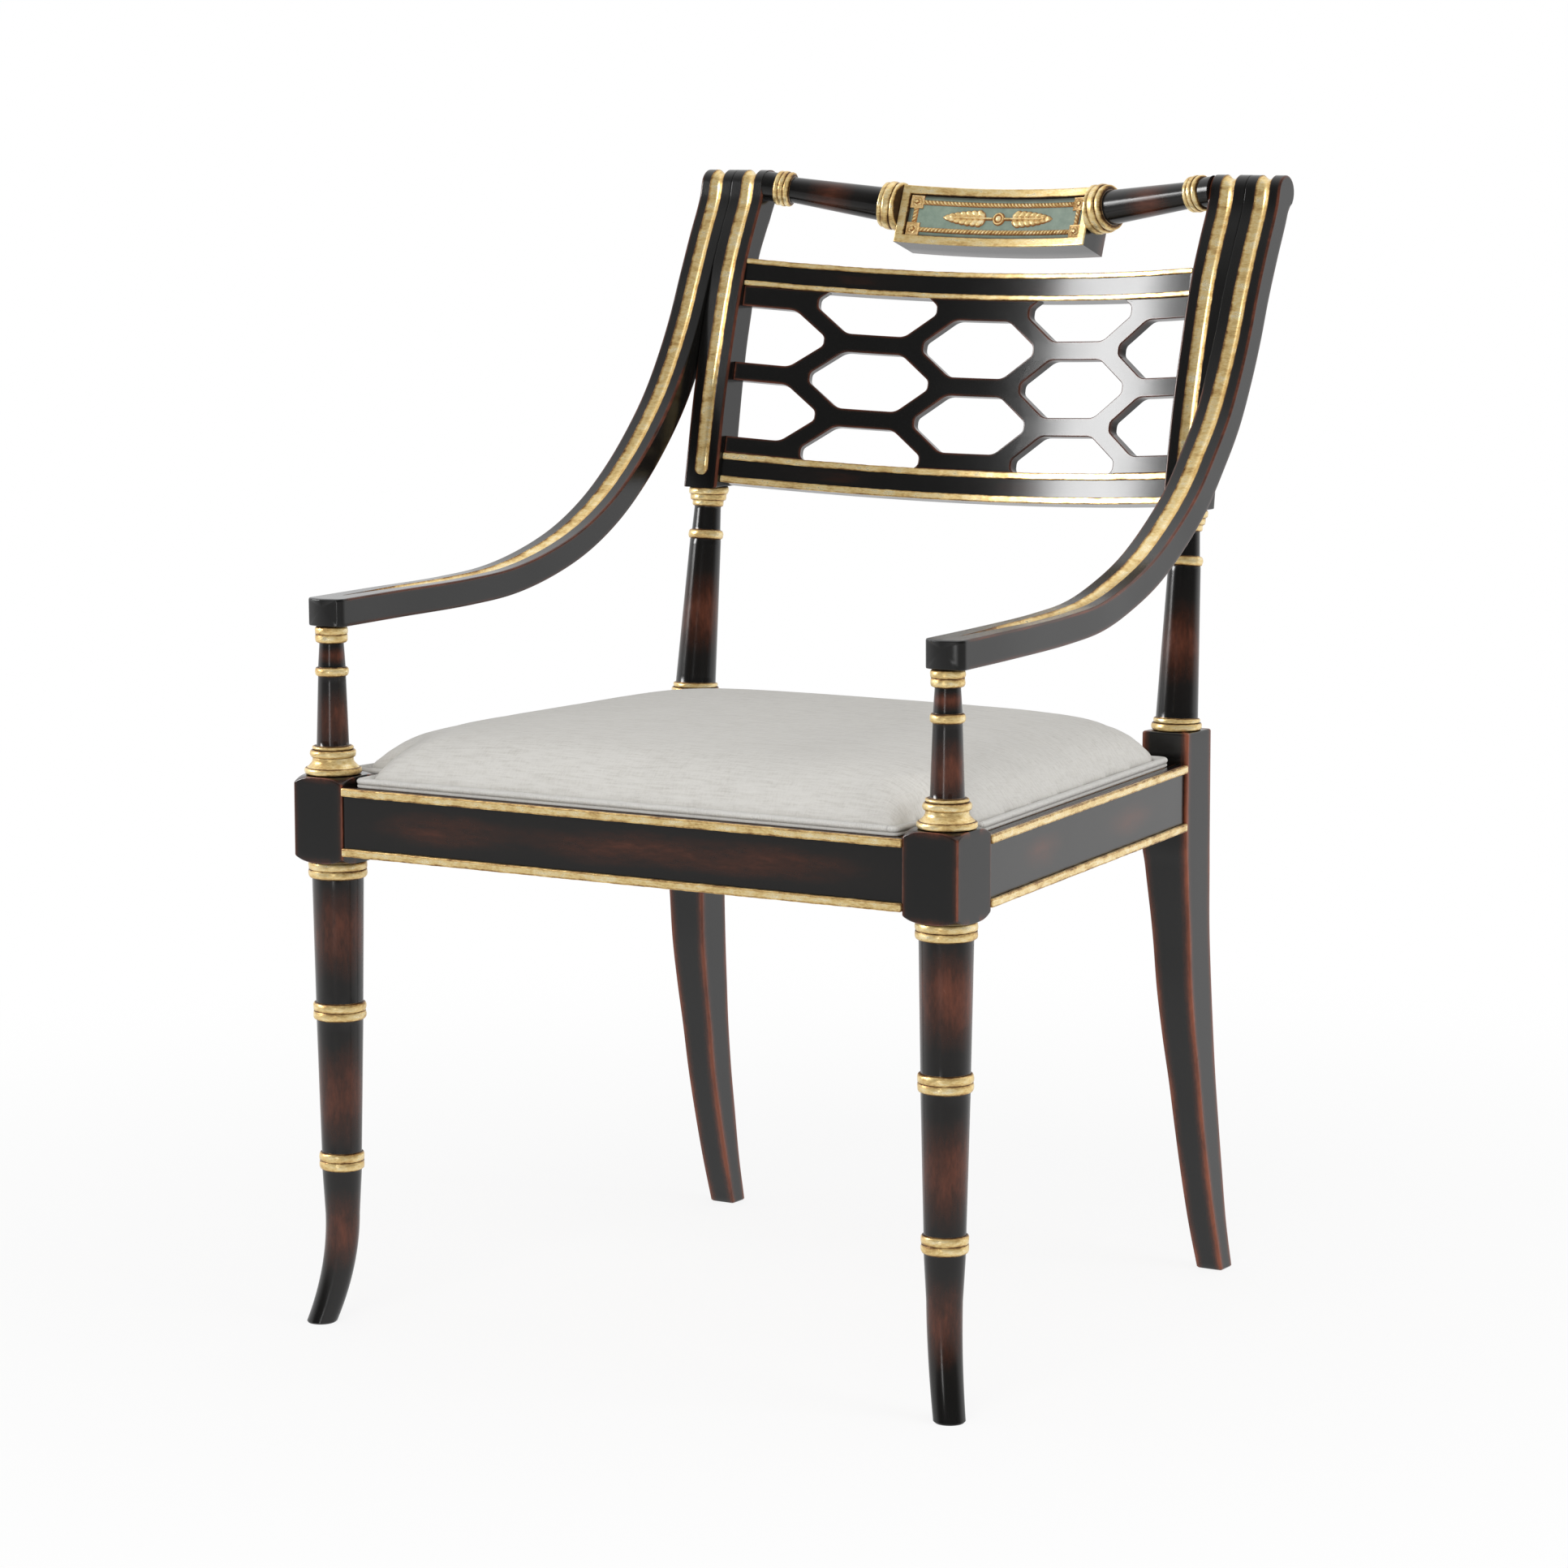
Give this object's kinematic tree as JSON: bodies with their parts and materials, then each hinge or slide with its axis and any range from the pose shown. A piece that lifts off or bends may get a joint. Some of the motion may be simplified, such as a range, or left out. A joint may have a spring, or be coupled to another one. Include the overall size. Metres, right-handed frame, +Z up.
{
  "type": "open armchair",
  "caption": "Open armchair for dining with sabre back legs, rolled and fluted arms, a pierced hexagon lattice back and a drop-in upholstered seat, ebonised and parcel gilt.",
  "frame": {"origin": "on the floor, under the middle of the chair's box", "axes": "+Z up, +Y from the front of the chair to its back, +X to the right of someone who stands in front of it"},
  "size_m": [0.6062, 0.6486, 0.9134],
  "materials": {
    "ebonised_wood": "black lacquer rubbed through to red-brown along its arrises, glossy",
    "gilded_wood": "antique gilding over bole, satin",
    "painted_panel": "sage green paint round gilt carving, satin",
    "bare_beech": "planed, unfinished",
    "seat_fabric": "plain woven cloth with fine slubs, matt",
    "screw_steel": "zinc plated"
  },
  "bodies": {
    "root": {"front_leg_right": "ebonised_wood", "front_leg_left": "ebonised_wood", "arm_post_right": "ebonised_wood", "arm_post_left": "ebonised_wood", "back_leg_right": "ebonised_wood", "back_leg_left": "ebonised_wood", "back_column_right": "ebonised_wood", "back_column_left": "ebonised_wood", "upright_right": "ebonised_wood", "upright_left": "ebonised_wood", "arm_right": "ebonised_wood", "arm_left": "ebonised_wood", "arm_dowel_1_right": "bare_beech", "arm_dowel_1_left": "bare_beech", "arm_dowel_2_right": "bare_beech", "arm_dowel_2_left": "bare_beech", "lower_back_rail": "ebonised_wood", "upper_back_rail": "ebonised_wood", "lower_back_rail_bead_bottom": "gilded_wood", "lower_back_rail_bead_top": "gilded_wood", "upper_back_rail_bead_bottom": "gilded_wood", "upper_back_rail_bead_top": "gilded_wood", "lattice": "ebonised_wood", "crest_rod_right": "ebonised_wood", "crest_rod_left": "ebonised_wood", "crest_tablet": "ebonised_wood", "crest_panel": "painted_panel", "front_seat_rail": "ebonised_wood", "side_seat_rail_right": "ebonised_wood", "side_seat_rail_left": "ebonised_wood", "back_seat_rail": "ebonised_wood", "front_moulding_lower": "gilded_wood", "front_moulding_upper": "gilded_wood", "side_moulding_lower_right": "gilded_wood", "side_moulding_lower_left": "gilded_wood", "side_moulding_upper_right": "gilded_wood", "side_moulding_upper_left": "gilded_wood", "front_brace_right": "bare_beech", "front_brace_left": "bare_beech", "back_brace_right": "bare_beech", "back_brace_left": "bare_beech", "seat_board": "bare_beech", "seat_cushion": "seat_fabric", "seat_welt": "seat_fabric", "seat_screw_front_right": "screw_steel", "seat_screw_front_left": "screw_steel", "seat_screw_back_right": "screw_steel", "seat_screw_back_left": "screw_steel"}
  },
  "joints": []
}
